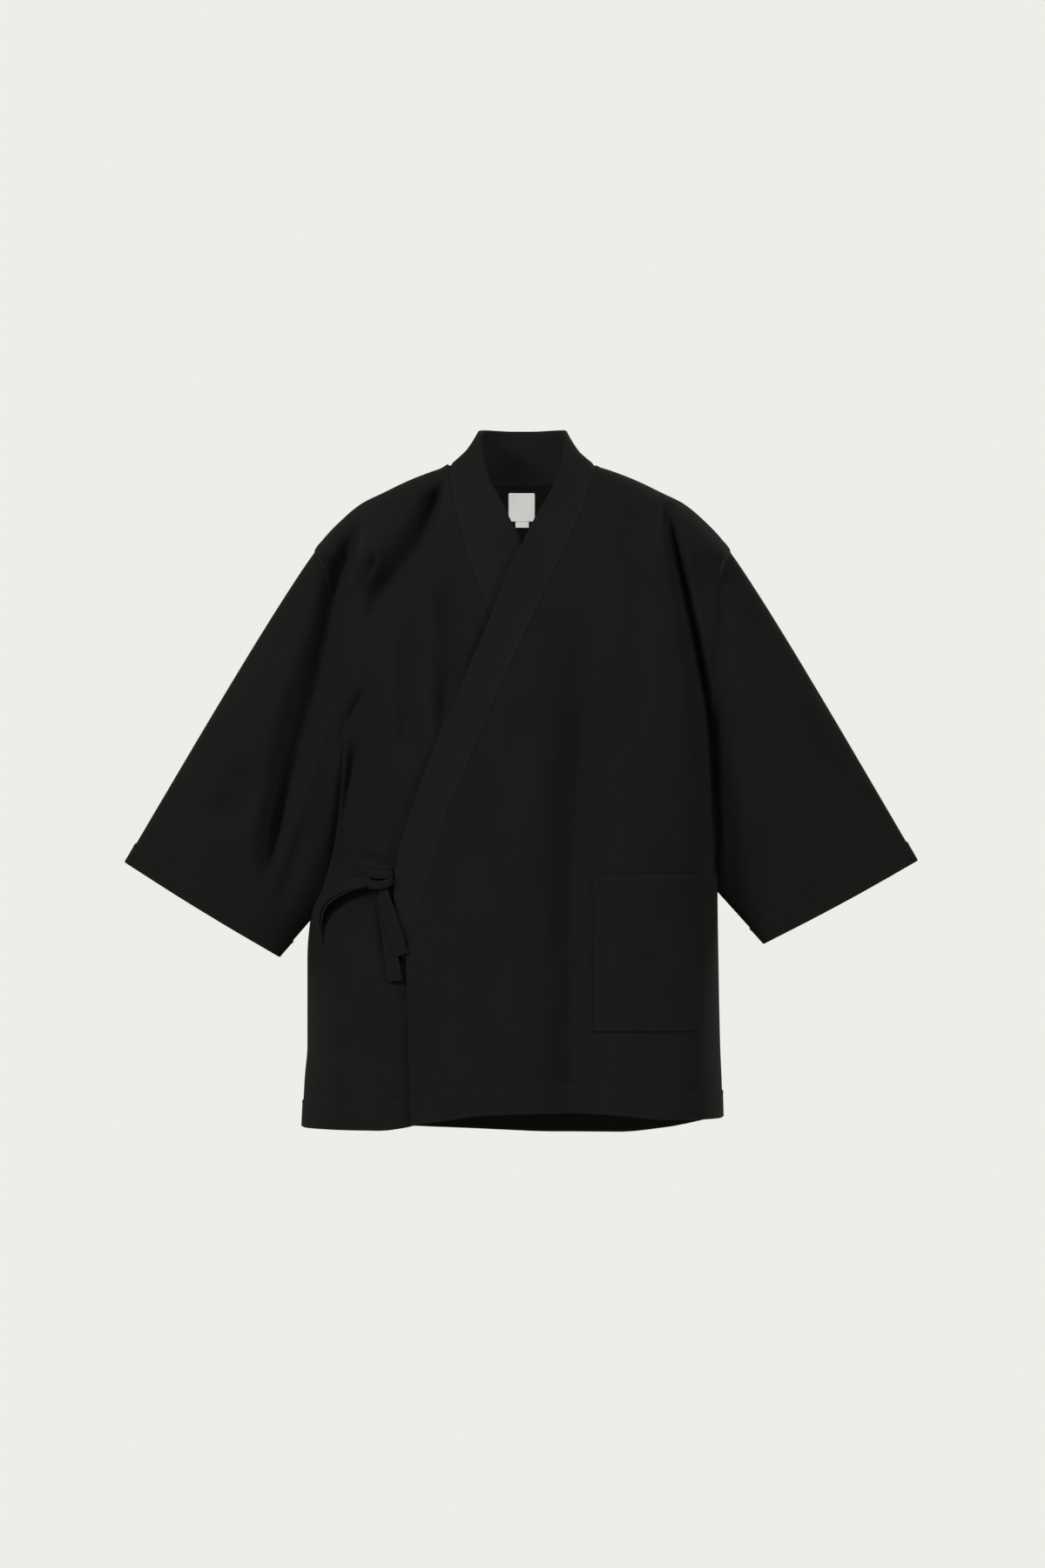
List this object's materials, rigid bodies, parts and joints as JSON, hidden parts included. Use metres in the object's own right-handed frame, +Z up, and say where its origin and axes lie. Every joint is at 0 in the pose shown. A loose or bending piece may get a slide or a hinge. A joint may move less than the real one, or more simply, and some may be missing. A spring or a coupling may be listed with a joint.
{
  "type": "samue jacket",
  "caption": "Cross-over work jacket of dark cotton in its worn shape, with wide straight sleeves, a band collar and tied side closure.",
  "frame": {"origin": "middle of the neckline, level with the two points where the shoulder line meets the collar seam", "axes": "+X from the wearer's right shoulder to the left one, -Y towards the front of the jacket, +Z up"},
  "size_m": [0.9068, 0.2459, 0.811],
  "materials": {
    "cotton": "matt plain-weave cotton with a slight slub",
    "label_tape": "smooth woven tape"
  },
  "bodies": {
    "root": {"left_front": "cotton", "right_front": "cotton", "left_back": "cotton", "right_back": "cotton", "left_sleeve": "cotton", "right_sleeve": "cotton", "collar": "cotton", "left_pocket": "cotton", "side_tie": "cotton", "bow_loop": "cotton", "front_tie": "cotton", "long_tail": "cotton", "short_tail": "cotton", "tie_knot": "cotton", "label": "label_tape", "size_tab": "label_tape"}
  },
  "joints": []
}
